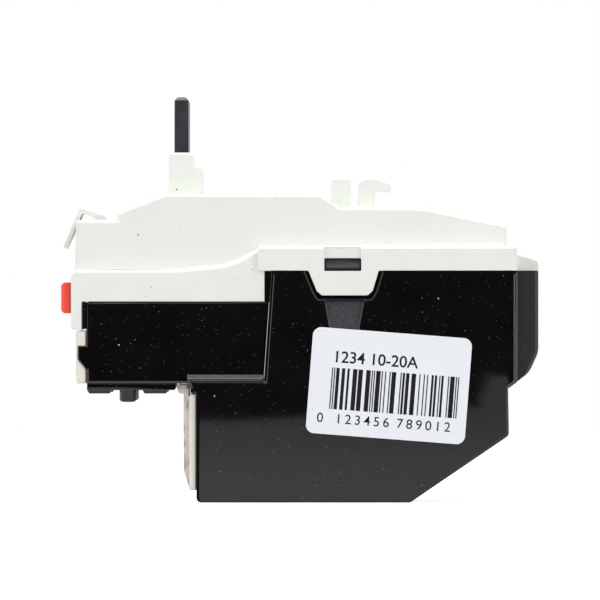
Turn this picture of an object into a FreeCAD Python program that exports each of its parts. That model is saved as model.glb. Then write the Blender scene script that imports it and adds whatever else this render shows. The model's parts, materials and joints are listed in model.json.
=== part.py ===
import FreeCAD, Part
import math
import os

# Plug-in three-pole thermal overload relay. Millimetres.
# -X is the front with the controls, +X the rear, +Z up towards the connection blades,
# Y runs across the poles. The origin is under the middle of the relay, on the plane it stands on.

# ---- shared sizes ----
pole_pitch = 14.5
pole_count = 3
side_margin = 12.5          # outer pole to the outer face of the side plates
wall = 1.8                  # base housing
cover_wall = 1.5
partition = 1.2             # between the pole chambers
edge_round = 0.5            # moulded outer edges
gap = 0.3                   # between pieces that move past each other
fit = 0.05                  # radial clearance of a pin or shaft in its hole
seat = 0.1                  # between a conductor and the slot that holds it

# ---- stations along X ----
rear_x = 45.0
plate_rear_x = 40.9
skirt_front_x = -42.4
upper_front_x = -42.0
upper_rear_x = 38.95
lip_front_x = -43.0
lip_rear_x = -41.0
control_front_x = -40.1
joint_x = -6.7              # control block meets the base
power_front_x = -19.4
bottom_rear_x = 20.8
diagonal_rear_x = 39.35
step_rear_x = -34.3         # rear of the low step in front
deck_front_x = -25.6        # head of the slope up to the deck
deck_rear_x = 4.0
rear_deck_x = 7.4
rear_deck_end_x = 23.2      # from here the rear deck curves down

# ---- power terminals ----
power_bar_x = -9.9
power_bar = 1.5
power_gap = 4.6             # room for the conductor under the open clamp
power_clamp = 1.4
power_clamp_side = 9.6
power_entry_z = 2.0
power_screw_z = power_entry_z + power_clamp_side / 2 + 5.2
power_head_r = 3.9
power_head = 3.0
power_thread_r = 2.4
power_pocket_half = 5.2
power_pocket_top = power_screw_z + power_clamp_side / 2 + 2.4
power_front_foot_z = 2.35
power_front_top_z = power_pocket_top + 1.2
power_plate = 1.3           # cream front, without its raised part
power_raised = 1.05
load_half = 3.5
load_run_z = 4.0

# ---- control terminals ----
control_pitch = 12.0
control_count = 4
control_bar_x = -34.8
control_bar = 1.0
control_gap = 2.4
control_clamp = 1.0
control_clamp_side = 7.0
control_floor = 1.8         # wall under the control terminals
control_floor_z = power_pocket_top + 3.2
control_screw_z = control_floor_z + control_floor + control_clamp_side / 2 + 0.7
control_head_r = 2.8
control_head = 1.7
control_thread_r = 1.7
control_pocket_half = 4.0
control_pocket_top = control_screw_z + control_clamp_side / 2 + 0.5
control_front = 2.0         # thickness of the cream front
control_ys = [control_pitch * (i - (control_count - 1) / 2) for i in range(control_count)]
contact_bar_half = 2.5

# ---- heights ----
control_top_z = control_pocket_top + 5.3
skirt_height = 5.9
lip_foot_z = control_pocket_top + 0.1
base_height = control_top_z + skirt_height          # base top, where the cover seats
chamfer_foot_z = 12.6       # rear end of the diagonal underside
plate_notch_z = 21.5
hump_foot_z = 22.65
shoulder_z = control_floor_z - 0.5      # foot of the sloped shoulder beside the control block
shoulder_rise = 2.3
flange_height = 4.7
flange_top_z = base_height + flange_height
deck_rise = 9.7
deck_z = flange_top_z + deck_rise
rear_deck_z = deck_z - 2.4
rear_deck_drop = 3.4
front_step_z = deck_z - 4.85
front_step_lip = 1.15
collar_height = 7.9
collar_top_z = deck_z + collar_height
blade_reach = 10.43
blade_top_z = collar_top_z + blade_reach

# ---- widths ----
half_width = pole_pitch * (pole_count - 1) / 2 + side_margin
side_step = 1.0             # the control block stands back from the side plates
control_half = half_width - side_step
upper_half = half_width - 2.5
hump_half = half_width - 6.0
pole_ys = [pole_pitch * (i - (pole_count - 1) / 2) for i in range(pole_count)]

# ---- conductors ----
blade_thickness = 2.7
blade_width = 6.0
blade_rear_x = -20.9
busbar = 1.5
bus_z = deck_z - 6.5        # underside of the run from the blade to the pole chamber
bus_rear_x = 29.0

# ---- bimetals and heaters ----
strip_x = 18.0
strip_width = 6.0
strip_thickness = 1.0
strip_foot_z = 12.0
winding_foot_z = 15.0
winding_turns = 9
winding_pitch = 1.6
winding_wire = 1.0

# ---- inner frame and slide bars ----
frame_z = base_height - 12.0
frame_thickness = 1.6
strip_top_z = frame_z + 6.7
blade_tab_z = frame_z - 3.6     # foot that takes the heater's lead
blade_tab = 5.8
rail = 0.8
slide_thickness = 1.2
slide_half_x = 5.6
trip_travel = 1.5
notch = 3.4                 # gap in the slide bars beside each strip

# ---- trip lever ----
lever_x = 2.0
lever_y = half_width - 6.5
pin_r = 1.0
arm_reach = 9.0
carrier_x = -29.0
carrier_depth = 3.0
carrier_height = 4.0
contact_travel = 1.2
contact_r = 1.5
rivet = 0.6
bridge = 0.6

# ---- front controls ----
stop_y = -13.0
stop_z = control_top_z + 0.8
stop_height = 5.85
stop_width = 8.0
stop_proud = 2.0
stop_seat_x = lip_rear_x - 0.4
reset_y = -10.0
reset_z = flange_top_z - 0.3
reset_r = 2.8
reset_cap = 3.2
reset_front_x = upper_front_x - 0.15
reset_seat_x = reset_front_x + reset_cap + 0.7
dial_y = 9.0
dial_z = flange_top_z - 0.1
dial_r = 2.8
dial_front_x = upper_front_x + 0.9
dial_shaft_r = 1.5
dial_shaft = 7.0            # from the dial's face to the end of its shaft
cam_r = 2.6
flag_y = 9.0
flag_z = control_top_z + 2.9
flag_r = 1.4

# ---- clear cover ----
flap_hinge_x = -37.9
flap_hinge_z = front_step_z + 0.15
flap_open_deg = 22.0
flap_y0 = -4.0
flap_y1 = 22.0
flap_wall = 0.9
flap_front_leg = 7.8
flap_pin_r = 0.5

# ---- button guides and springs ----
guide_x = -33.3
guide_plate = 1.0
stem_r = 1.3
stem_rise = 0.8
stem_end_x = guide_x + guide_plate + 0.8
spring_r = 2.0
spring_wire = 0.4
spring_end = 0.02           # clear of the seat at each end

# ---- guides of the contact carrier ----
keel_ys = (-12.0, 12.0)
keel_half = 1.0
keel_inset = 0.5
keel_depth = 1.2

# ---- snap tongues of the cover and catches of the base ----
tongue_x0 = 1.66
tongue_x1 = 14.9
tongue_drop = 4.65
tongue_slope = 3.8          # height of the tongue's slanting sides
tongue_proud = 1.0
tongue_groove = 0.8
window_x0 = 4.65
window_x1 = 11.6
window_height = 2.35
recess_height = 2.05        # shallow recess above the window
recess_depth = 0.6
catch_depth = 0.4           # the catch stands back from the outer face
ramp_length = 8.0
ramp_top = 7.4
ramp_foot = 4.4

# ---- posts and hooks on the rear deck ----
hook_y = half_width - 8.0
hook_height = 5.2
hook_nose = 3.7
hook_half = 2.0
post_x0 = 6.1
post_x1 = 9.6
post_height = 5.8
post_half = 1.75

# ---- front catches beside the control terminals ----
side_catch = 1.55           # reach over the cream front
side_catch_y = 1.2

# ---- label ----
label_x = 16.8
label_z = 22.0
label_width = 30.0
label_height = 20.0
label_corner = 1.6
label_tilt_deg = 4.4
label_thickness = 0.1

V = FreeCAD.Vector


def box(x0, x1, y0, y1, z0, z1):
    return Part.makeBox(x1 - x0, y1 - y0, z1 - z0, V(x0, y0, z0))


def across(x0, x1, half, z0, z1, y=0.0):
    """A box centred on y."""
    return box(x0, x1, y - half, y + half, z0, z1)


def rod_x(r, x0, x1, y, z):
    return Part.makeCylinder(r, x1 - x0, V(x0, y, z), V(1, 0, 0))


def rod_y(r, y0, y1, x, z):
    return Part.makeCylinder(r, y1 - y0, V(x, y0, z), V(0, 1, 0))


def rod_z(r, z0, z1, x, y):
    return Part.makeCylinder(r, z1 - z0, V(x, y, z0), V(0, 0, 1))


def outline(corners, y):
    """Closed wire in the plane Y = y. A corner is (x, z) or (x, z, radius)."""
    count = len(corners)
    edges = []
    starts = []
    ends = []
    for i in range(count):
        here = V(corners[i][0], y, corners[i][1])
        r = corners[i][2] if len(corners[i]) > 2 else 0.0
        before = corners[i - 1]
        after = corners[(i + 1) % count]
        to_before = V(before[0], y, before[1]).sub(here).normalize()
        to_after = V(after[0], y, after[1]).sub(here).normalize()
        if r <= 0:
            starts.append(here)
            ends.append(here)
            edges.append(None)
            continue
        half_angle = to_before.getAngle(to_after) / 2
        leg = r / math.tan(half_angle)
        start = here + to_before * leg
        end = here + to_after * leg
        bisector = (to_before + to_after).normalize()
        middle = here + bisector * (r / math.sin(half_angle) - r)
        starts.append(start)
        ends.append(end)
        edges.append(Part.Arc(start, middle, end).toShape())
    loop = []
    for i in range(count):
        if edges[i]:
            loop.append(edges[i])
        following = starts[(i + 1) % count]
        if ends[i].distanceToPoint(following) > 1e-6:
            loop.append(Part.makeLine(ends[i], following))
    return Part.Wire(loop)


def prism(corners, y0, y1):
    return Part.Face(outline(corners, y0)).extrude(V(0, y1 - y0, 0))


def slab(corners, half, y=0.0):
    """An XZ outline extruded to both sides of y."""
    return prism(corners, y - half, y + half)


def soften(shape, planes, size, keep=None):
    """Bevel the edges that lie in the planes Y = y, where keep allows it."""
    chosen = []
    for edge in shape.Edges:
        ends = [v.Point for v in edge.Vertexes]
        if not any(all(abs(p.y - y) < 1e-5 for p in ends) for y in planes):
            continue
        if keep is None or all(keep(p) for p in ends):
            chosen.append(edge)
    return shape.makeChamfer(size, chosen) if chosen else shape


def join(first, *others):
    return first.multiFuse(list(others)).removeSplitter()


# ---------------------------------------------------------------- base housing

plate_top_front_x = joint_x + 1.4
joint_foot_z = shoulder_z + shoulder_rise / 2


def joint_face_x(z):
    """The base's slanting front face, above the shoulder."""
    return joint_x + (plate_top_front_x - joint_x) * (z - joint_foot_z) / (base_height - joint_foot_z)


def base_profile(shrink=0.0):
    """Side plate outline, or its inside when shrink is a wall."""
    s = shrink
    low = wall if shrink else 0.0
    r = 0.0 if shrink else 1.0
    return [
        (plate_top_front_x + s, base_height + (1 if shrink else 0)),
        (joint_x + s, joint_foot_z),
        (joint_x + s, low) if shrink else (power_front_x - 1.1, joint_foot_z),
        (joint_x + s, low) if shrink else (power_front_x - 1.1, power_pocket_top + 1.4),
        (joint_x + s, low) if shrink else (power_front_x, power_pocket_top + 1.2),
        (joint_x + s, low) if shrink else (power_front_x, 0.0, r),
        (bottom_rear_x - s * 0.3, low, r),
        (diagonal_rear_x - s, chamfer_foot_z + s * 0.3, r),
        (diagonal_rear_x - s, plate_notch_z),
        (plate_rear_x - s, hump_foot_z),
        (plate_rear_x - s, base_height + (1 if shrink else 0)),
    ]


def distinct(corners):
    """The corners without repeats."""
    kept = []
    for corner in corners:
        if not kept or corner[:2] != kept[-1][:2]:
            kept.append(corner)
    return kept


def tongue_profile(grow):
    """Snap tongue under the flange, or its recess in the base when grow is the groove."""
    foot = base_height - tongue_drop - grow
    knee = base_height - tongue_slope
    return [
        (tongue_x0 - grow, base_height),
        (tongue_x0 + 1.54 - grow, knee),
        (tongue_x0 + 2.5 - grow, foot, 0.8),
        (tongue_x1 - 2.1 + grow, foot, 0.8),
        (tongue_x1 - 1.15 + grow, knee),
        (tongue_x1 + grow, base_height),
    ]


def level_face(middle, width, outer_y, inner_y, z):
    """Rectangle in the plane Z = z, as a wire."""
    a = middle - width / 2
    b = middle + width / 2
    corners = [V(a, outer_y, z), V(b, outer_y, z), V(b, inner_y, z), V(a, inner_y, z)]
    return Part.makePolygon(corners + corners[:1])


def catch_recess(side):
    """Recess for the snap tongue, running out downwards in a ramp for a screwdriver."""
    face = side * half_width
    inner = face - side * (tongue_proud + seat)
    pocket = prism(tongue_profile(tongue_groove), min(face, inner), max(face, inner))
    top = base_height - tongue_drop - tongue_groove + 0.2
    middle = (window_x0 + window_x1) / 2 + 0.3
    ramp = Part.makeLoft([
        level_face(middle, ramp_top, face, inner, top),
        level_face(middle, ramp_foot, face, face - side * 0.05, top - ramp_length)], True)
    return join(pocket, ramp)


def catch_wedge(side):
    """Wedge on the base that shows in the cover's window."""
    root_y = side * (half_width - wall - 0.6)
    foot_y = side * (half_width - tongue_proud - seat)
    nose_y = side * (half_width - catch_depth)
    x0 = window_x0 + gap
    top = base_height + window_height - gap
    profile = [
        V(x0, root_y, base_height - 1.0),
        V(x0, foot_y, base_height - 1.0),
        V(x0, foot_y, base_height + 0.1),
        V(x0, nose_y, base_height + 0.6),
        V(x0, foot_y - side * 0.2, top),
        V(x0, root_y, top),
        V(x0, root_y, base_height - 1.0)]
    return Part.Face(Part.makePolygon(profile)).extrude(V(window_x1 - window_x0 - 2 * gap, 0, 0))


def base_housing():
    inside = half_width - wall
    outer = slab(distinct(base_profile()), half_width)
    outer = soften(outer, [-half_width, half_width], edge_round)
    hump = slab([
        (plate_rear_x - 2, hump_foot_z - 1.0), (plate_rear_x, hump_foot_z),
        (rear_x - 1.7, hump_foot_z + 1.85), (rear_x, hump_foot_z + 5.6, 4.0),
        (rear_x, base_height), (plate_rear_x - 2, base_height)], hump_half)
    hump = soften(hump, [-hump_half, hump_half], edge_round, lambda p: p.x > plate_rear_x + 0.01)
    shell = join(outer, hump)
    # the shoulder beside the control block slopes in from the side plates
    for side in (-1, 1):
        slope = Part.Face(Part.makePolygon([
            V(power_front_x - 3, side * (half_width + 0.1), shoulder_z),
            V(power_front_x - 3, side * (half_width + 0.1), shoulder_z + shoulder_rise),
            V(power_front_x - 3, side * control_half, shoulder_z + shoulder_rise),
            V(power_front_x - 3, side * (half_width + 0.1), shoulder_z)]))
        shell = shell.cut(slope.extrude(V(joint_x - power_front_x + 3, 0, 0)))
    # one chamber for each pole, and the mechanism space above the partitions
    chamber = slab(distinct(base_profile(wall)), inside)
    half_chamber = (pole_pitch - partition) / 2
    lower = []
    for i, y in enumerate(pole_ys):
        y0 = -inside if i == 0 else y - half_chamber
        y1 = inside if i == pole_count - 1 else y + half_chamber
        lower.append(chamber.common(box(-50, 50, y0, y1, 0, frame_z)))
    upper = chamber.common(box(-50, 50, -inside, inside, frame_z, base_height + 1))
    shell = shell.cut(upper)
    for room in lower:
        shell = shell.cut(room)
    # power terminals: pocket behind the cream front, conductor entry below, slot for the load bar
    for y in pole_ys:
        shell = shell.cut(across(power_front_x - 1, joint_x + 0.4, power_pocket_half,
                                 power_entry_z, power_pocket_top, y))
        shell = shell.cut(across(power_bar_x - power_gap + 0.1, power_bar_x - 0.1,
                                 power_pocket_half - 0.6, -1, power_entry_z + 1, y))
        # the tightened screw's tip reaches through the front wall
        shell = shell.cut(rod_x(power_thread_r + 0.4, joint_x - 1, joint_x + wall + 1, y, power_screw_z))
        shell = shell.cut(across(joint_x, joint_x + wall + 1, load_half + seat,
                                 load_run_z - seat, load_run_z + power_bar + seat, y))
    for side in (-1, 1):
        shell = shell.cut(catch_recess(side))
        shell = join(shell, catch_wedge(side))
    return shell


# ---------------------------------------------------------------- top cover

def upper_profile(shrink=0.0):
    s = shrink
    r = 0.0 if shrink else 1.0
    front = upper_front_x + s
    foot = flange_top_z - flange_height - 0.1
    return [
        (front - 0.3, foot),
        (front, front_step_z - s, 0.0 if shrink else 0.6),
        (step_rear_x + s, front_step_z - s),
        (step_rear_x + s, front_step_z + front_step_lip - s),
        (deck_front_x + s * 0.4, deck_z - s, r),
        (deck_rear_x - s * 0.6, deck_z - s, r),
        (rear_deck_x - s * 0.4, rear_deck_z - s, r),
        (rear_deck_end_x, rear_deck_z - s, 0.0 if shrink else 30.0),
        (upper_rear_x - s, rear_deck_z - rear_deck_drop - s, r),
        (upper_rear_x - s, foot),
    ]


def skirt_profile():
    """Wider lower part of the cover over the front half."""
    return [
        (skirt_front_x, control_top_z + 0.1),
        (skirt_front_x, base_height + 0.1, 0.5),
        (joint_x - 16.7, base_height + 0.1),
        (joint_x - 7.6, base_height + 0.9, 6.0),
        (joint_x - 4.9, base_height + 1.8),
        (joint_x, flange_top_z, 1.5),
        (joint_x + 8, flange_top_z),
        (joint_x + 8, base_height),
        (plate_top_front_x - seat, base_height),
        (joint_face_x(control_top_z) - seat, control_top_z + 0.1),
    ]


def top_cover():
    flange = slab([
        (joint_x - 1, base_height), (joint_x - 1, flange_top_z), (plate_rear_x, flange_top_z, 0.6),
        (plate_rear_x, base_height)], half_width)
    flange = soften(flange, [-half_width, half_width], edge_round, lambda p: p.z > base_height + 1)
    skirt = slab(skirt_profile(), control_half)
    upper = slab(upper_profile(), upper_half)
    upper = soften(upper, [-upper_half, upper_half], edge_round, lambda p: p.z > base_height + 1)
    lip = slab([
        (lip_front_x, lip_foot_z, 0.5), (lip_front_x, base_height - 0.4, 0.4),
        (skirt_front_x + 3, base_height - 0.4), (skirt_front_x + 3, control_top_z + 0.1),
        (lip_rear_x, control_top_z + 0.1), (lip_rear_x, lip_foot_z)],
        control_half)
    rear = slab([
        (plate_rear_x - 2, base_height), (rear_x, base_height), (rear_x, base_height + 1.8, 0.6),
        (plate_rear_x - 2, base_height + 3.8)], hump_half)
    cover = join(flange, skirt, upper, lip, rear)
    # hollow inside
    inside = [
        slab([
            (joint_x, base_height - 1), (joint_x, flange_top_z - cover_wall),
            (plate_rear_x - cover_wall, flange_top_z - cover_wall),
            (plate_rear_x - cover_wall, base_height - 1)], half_width - wall),
        slab(upper_profile(cover_wall), upper_half - cover_wall),
        box(lip_rear_x + 0.2, joint_x + 1.6, -control_half + cover_wall, control_half - cover_wall,
            control_top_z - 1, base_height - cover_wall + 0.1),
        box(skirt_front_x + cover_wall, plate_rear_x - cover_wall, -upper_half + cover_wall,
            upper_half - cover_wall, base_height - 2, base_height + 1),
    ]
    for space in inside:
        cover = cover.cut(space)
    # collars round the blades
    for y in pole_ys:
        rear_part = across(blade_rear_x - 0.5, blade_rear_x + 2.62, 4.25, deck_z - 1, collar_top_z - 2.9, y)
        tower = across(blade_rear_x - 3.74, blade_rear_x + 0.87, 4.25, deck_z - 1, collar_top_z, y)
        tower = tower.makeChamfer(0.35, [e for e in tower.Edges
                                         if all(v.Z > collar_top_z - 0.01 for v in e.Vertexes)])
        cover = join(cover, tower, rear_part)
    for y in pole_ys:
        cover = cover.cut(across(blade_rear_x - blade_thickness - seat, blade_rear_x + seat,
                                 blade_width / 2 + seat, deck_z - 5, collar_top_z + 1, y))
    # posts and hooks that locate the relay under the contactor
    fixtures = []
    foot = rear_deck_z - 1
    for side in (-1, 1):
        y = side * hook_y
        post = across(post_x0, post_x1, post_half, foot, rear_deck_z + post_height, y)
        post = post.makeFillet(0.8, [e for e in post.Edges
                                     if all(v.Z > rear_deck_z + post_height - 0.1 for v in e.Vertexes)])
        front = post_x1 + 1.6
        top = rear_deck_z + hook_height
        nose = front + 2.4 + hook_nose
        hook = slab([
            (front, foot), (front, top - 0.6), (front + 1.0, top, 0.4), (front + 2.8, top, 1.2),
            (nose, top - 0.9, 0.4), (nose, top - 2.2, 0.4), (front + 3.2, top - 2.0, 0.6),
            (front + 2.4, foot)], hook_half, y)
        fixtures += [post, hook]
    cover = join(cover, *fixtures)
    # window and snap tongue on each side
    for side in (-1, 1):
        outer = side * half_width
        inner = outer - side * tongue_proud
        tongue = prism(tongue_profile(0.0), min(outer, inner), max(outer, inner))
        cover = join(cover, tongue)
        through = sorted((outer + side, outer - side * (wall + 1.4)))
        window_top = base_height + window_height
        cover = cover.cut(box(window_x0, window_x1, *through, base_height - 0.05, window_top))
        shallow = sorted((outer + side, outer - side * recess_depth))
        cover = cover.cut(box(window_x0, window_x1, *shallow, window_top - 0.1, window_top + recess_height))
    return front_openings(cover)


def front_openings(cover):
    """Recess for the clear cover, wells for the dial and buttons, hinge ears."""
    recess_x = upper_front_x + 0.8
    cover = cover.cut(box(lip_front_x, recess_x, flap_y0 - gap, flap_y1 - 0.2 + gap,
                          front_step_z - flap_front_leg + 0.2, front_step_z + 1))
    thicken = box(recess_x, recess_x + cover_wall, flap_y0 - gap - 1, flap_y1 + gap,
                  front_step_z - flap_front_leg - 1, front_step_z - 0.6)
    bosses = [
        thicken,
        rod_x(reset_r + 1.2, upper_front_x, upper_front_x + 3.0, reset_y, reset_z),
        rod_x(flag_r + 1.0, lip_front_x + 1, lip_front_x + 4.0, flag_y, flag_z),
        # plate behind the buttons: it guides their stems and backs their springs
        box(guide_x, guide_x + guide_plate, stop_y - 4.2, reset_y + 4.2, control_top_z + gap,
            front_step_z + 0.2),
    ]
    cover = join(cover, *bosses)
    for y, z in ((stop_y, stop_z + stem_rise), (reset_y, reset_z)):
        cover = cover.cut(rod_x(stem_r + fit, guide_x - 1, guide_x + 2, y, z))
    # groove and ears of the hinge
    cover = cover.cut(rod_y(1.2, flap_y0 - gap, flap_y1 + gap - 0.2, flap_hinge_x, flap_hinge_z))
    for y0, y1 in ((flap_y0 - gap - 1.0, flap_y0 - gap), (flap_y1 - 0.2 + gap, flap_y1 + 0.8 + gap)):
        ear = rod_y(0.95, y0, y1, flap_hinge_x, flap_hinge_z)
        cover = join(cover, ear)
        cover = cover.cut(rod_y(flap_pin_r + fit, y0 - 1, y1 + 1, flap_hinge_x, flap_hinge_z))
    cover = cover.cut(rod_x(dial_r + fit, lip_front_x, recess_x + cover_wall + 1, dial_y, dial_z))
    cover = cover.cut(rod_x(reset_r + fit, lip_front_x, upper_front_x + 4, reset_y, reset_z))
    cover = cover.cut(rod_x(flag_r + fit, lip_front_x - 1, lip_rear_x + 4, flag_y, flag_z))
    stop_half_y = stop_width / 2 + seat
    stop_half_z = stop_height / 2 + seat
    return cover.cut(across(lip_front_x - 1, lip_rear_x + 1, stop_half_y, stop_z - stop_half_z,
                            stop_z + stop_half_z, stop_y))


# ---------------------------------------------------------------- front block

def side_catch_profile(grow):
    """Wedge of the control block that holds the cream front, or its notch when grow is a clearance."""
    top = control_screw_z + 1.0 + grow
    nose = control_front_x - side_catch - grow
    return [
        (control_front_x + 0.5, top), (nose, top), (nose, control_screw_z - 1.4 - grow),
        (control_front_x, control_screw_z - 3.4 - grow),
        (control_front_x + 0.5, control_screw_z - 3.4 - grow)]


def control_block():
    block = slab([
        (control_front_x, control_floor_z), (control_front_x, control_top_z, 0.4),
        (joint_face_x(control_top_z) - 0.05, control_top_z), (joint_x - 0.05, joint_foot_z + 0.05),
        (power_front_x - 1.2, joint_foot_z + 0.05), (power_front_x - 1.2, control_floor_z)],
        control_half)
    block = soften(block, [-control_half, control_half], 0.3)
    # rib behind the cover's lip, and a catch over each end of the cream front
    block = join(block, across(lip_rear_x + seat, control_front_x + 0.5, control_half - 0.2,
                               control_pocket_top + 0.3, control_top_z))
    for side in (-1, 1):
        catch_y = sorted((side * control_half, side * (control_half - side_catch_y)))
        block = join(block, prism(side_catch_profile(0.0), *catch_y))
    # open pocket behind the mechanism, so that the block is a shell with its terminals in front
    block = block.cut(box(-20.0, joint_x - wall, -control_half + wall, control_half - wall,
                          control_floor_z + 4, control_top_z + 1))
    for y in control_ys:
        block = block.cut(across(control_front_x - 1, -27.8, control_pocket_half,
                                 control_floor_z + control_floor, control_pocket_top, y))
        block = block.cut(across(control_bar_x - control_gap, control_bar_x - 0.1, control_pocket_half - 0.5,
                                 control_floor_z - 1, control_floor_z + 3, y))
        block = block.cut(across(control_bar_x - seat, bar_slot_rear(y), contact_bar_half + seat,
                                 control_pocket_top - 1, control_top_z + 1, y))
    # keel slots of the contact carrier
    for y in keel_ys:
        block = block.cut(across(carrier_x + keel_inset - gap, carrier_x + carrier_depth - keel_inset
                                 + contact_travel + gap, keel_half + fit, control_top_z - keel_depth - gap,
                                 control_top_z + 1, y))
    # well under the stop button
    block = block.cut(across(control_front_x - 1, guide_x, stop_width / 2 + 0.5,
                             stop_z - stop_height / 2 - 0.4, control_top_z + 1, stop_y))
    return block


def control_bottom_plate():
    """Plate under the control block, with guide lips and a peg at each side."""
    z1 = control_floor_z
    z0 = z1 - 1.25
    plate = slab([
        (control_front_x + 0.1, z0), (control_front_x + 0.1, z1), (-23.2, z1), (-23.2, z0, 0.6)],
        control_half - 0.4)
    pieces = []
    for side in (-1, 1):
        y = side * (control_half - 2.2)
        for x0, x1 in ((-40.0, -35.3), (-29.6, -24.7)):
            pieces.append(slab([(x0, z0 + 0.1), (x0 + 0.4, z0 - 0.65), (x1 - 0.4, z0 - 0.65),
                                (x1, z0 + 0.1)], 1.5, y))
        peg = rod_z(1.6, z0 - 2.25, z0 + 0.1, -32.3, y)
        peg = peg.makeFillet(0.6, [e for e in peg.Edges if all(v.Z < z0 - 2.2 for v in e.Vertexes)])
        pieces.append(peg)
    plate = join(plate, *pieces)
    for y in control_ys:
        plate = plate.cut(across(control_bar_x - control_gap, control_bar_x - 0.1, control_pocket_half - 0.5,
                                 z0 - 1, z1 + 1, y))
    return plate


def screw_holes(front, x0, x1, ys, screw_z, hole_r):
    """Countersunk screwdriver hole over each screw."""
    for y in ys:
        front = front.cut(rod_x(hole_r, x0 - 1, x1 + 1, y, screw_z))
        rim = Part.makeCone(hole_r + 0.5, hole_r - 0.1, 0.6, V(x0 - 0.2, y, screw_z), V(1, 0, 0))
        front = front.cut(rim)
    return front


def control_terminal_front():
    """Cream front over the control terminals, notched round the block's side catches."""
    half = control_half - 0.4
    x0 = control_front_x - control_front
    front = slab([
        (control_front_x, control_floor_z), (x0 + 0.25, control_floor_z), (x0 + 0.1, control_floor_z + 0.7),
        (x0, control_floor_z + 0.8), (x0, control_pocket_top - 0.1, 0.4),
        (control_front_x, control_pocket_top - 0.1)], half)
    front = soften(front, [-half, half], 0.3)
    for side in (-1, 1):
        notch_y = sorted((side * (control_half + 1), side * (control_half - side_catch_y - seat)))
        front = front.cut(prism(side_catch_profile(seat), *notch_y))
    return screw_holes(front, x0, control_front_x, control_ys, control_screw_z, control_head_r + 0.2)


def power_terminal_front():
    """Cream front over the power terminals: plate, raised field, and a tab with a thin edge at each end."""
    half = half_width - 1.2
    rear = power_front_x - 0.05
    plate_x = rear - power_plate
    face_x = plate_x - power_raised
    plate = slab([(rear, power_front_foot_z), (plate_x, power_front_foot_z),
                  (plate_x, power_front_top_z, 0.5), (rear, power_front_top_z)], half)
    plate = soften(plate, [-half, half], 0.2)
    field = slab([
        (plate_x + 0.2, power_front_foot_z + 0.3), (plate_x, power_front_foot_z + 0.3),
        (face_x, power_front_foot_z + 3.6), (face_x, power_front_top_z - 0.2, 0.3),
        (plate_x + 0.2, power_front_top_z - 0.2)], half - 0.7)
    field = soften(field, [0.7 - half, half - 0.7], 0.3, lambda p: p.x < plate_x - 0.01)
    tabs = []
    for side in (-1, 1):
        y = side * (half - 2.3)
        tabs.append(slab([
            (plate_x - 0.15, power_front_top_z - 1.0), (plate_x - 0.15, control_floor_z - 0.3),
            (face_x - 1.05, control_floor_z - 0.3), (face_x - 1.05, power_front_top_z + 0.4, 0.3),
            (face_x - 0.6, power_front_top_z + 0.1), (face_x, power_front_top_z + 0.1),
            (face_x, power_front_top_z - 1.0)], 1.6, y))
        tabs.append(across(face_x - 1.2, face_x - 0.95, 1.6, power_front_top_z + 0.9,
                           control_floor_z - 0.1, y))
    front = join(plate, field, *tabs)
    return screw_holes(front, face_x, rear, pole_ys, power_screw_z, power_head_r + 0.3)


# ---------------------------------------------------------------- conductors

def connection_blade(y):
    """Blade that plugs into the contactor, bent back and down to the head of its heater."""
    front = blade_rear_x - blade_thickness
    bar = slab([
        (front, blade_top_z), (blade_rear_x, blade_top_z), (blade_rear_x, bus_z + busbar, 0.8),
        (bus_rear_x, bus_z + busbar, 1.6), (bus_rear_x, blade_tab_z, 0.4),
        (bus_rear_x - blade_tab, blade_tab_z), (bus_rear_x - blade_tab, blade_tab_z + busbar),
        (bus_rear_x - busbar, blade_tab_z + busbar, 0.8),
        (bus_rear_x - busbar, bus_z, 0.3), (front, bus_z, 1.2)], blade_width / 2, y)
    top = [e for e in bar.Edges if all(v.Z > blade_top_z - 0.01 for v in e.Vertexes)]
    return bar.makeChamfer(0.6, top)


def load_bar(y):
    """From the foot of the bimetal to the power terminal."""
    head = power_bar_x + power_bar
    upright = slab([
        (power_bar_x, load_run_z), (power_bar_x, power_screw_z + 5), (head, power_screw_z + 5),
        (head, load_run_z + power_bar, 0.6), (strip_x + strip_width / 2 + 1, load_run_z + power_bar),
        (strip_x + strip_width / 2 + 1, load_run_z, 0.4)], load_half, y)
    foot = across(strip_x - strip_width / 2, strip_x + strip_width / 2, 0.75,
                  load_run_z + power_bar - 0.2, strip_foot_z, y)
    bar = join(upright, foot)
    return bar.cut(rod_x(power_thread_r + fit, power_bar_x - 1, head + 1, y, power_screw_z))


def is_closed_pair(y):
    """The two bars on the -Y side carry the normally closed contact."""
    return y < 0


def contact_bar_x(y):
    """Front face of the upright that carries the fixed contact."""
    if is_closed_pair(y):
        return carrier_x - bridge - 2 * rivet - control_bar
    return carrier_x + carrier_depth + bridge + 2 * rivet + contact_travel


def bar_slot_rear(y):
    return contact_bar_x(y) + control_bar + seat


def contact_bar(y):
    """Terminal bar of the control side, with its fixed contact."""
    x = contact_bar_x(y)
    top = control_top_z + 5.2
    knee = control_pocket_top + 0.6
    bar = slab([
        (control_bar_x, control_screw_z - 4), (control_bar_x, knee + control_bar, 0.6),
        (x, knee + control_bar), (x, top), (x + control_bar, top), (x + control_bar, knee, 0.6),
        (control_bar_x + control_bar, knee), (control_bar_x + control_bar, control_screw_z - 4)],
        contact_bar_half, y)
    z = control_top_z + 3.0
    if is_closed_pair(y):
        contact = rod_x(contact_r, x + control_bar, x + control_bar + rivet, y, z)
    else:
        contact = rod_x(contact_r, x - rivet, x, y, z)
    bar = join(bar, contact)
    return bar.cut(rod_x(control_thread_r + fit, control_bar_x - 1, control_bar_x + control_bar + 1, y,
                         control_screw_z))


# ---------------------------------------------------------------- terminals

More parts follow.
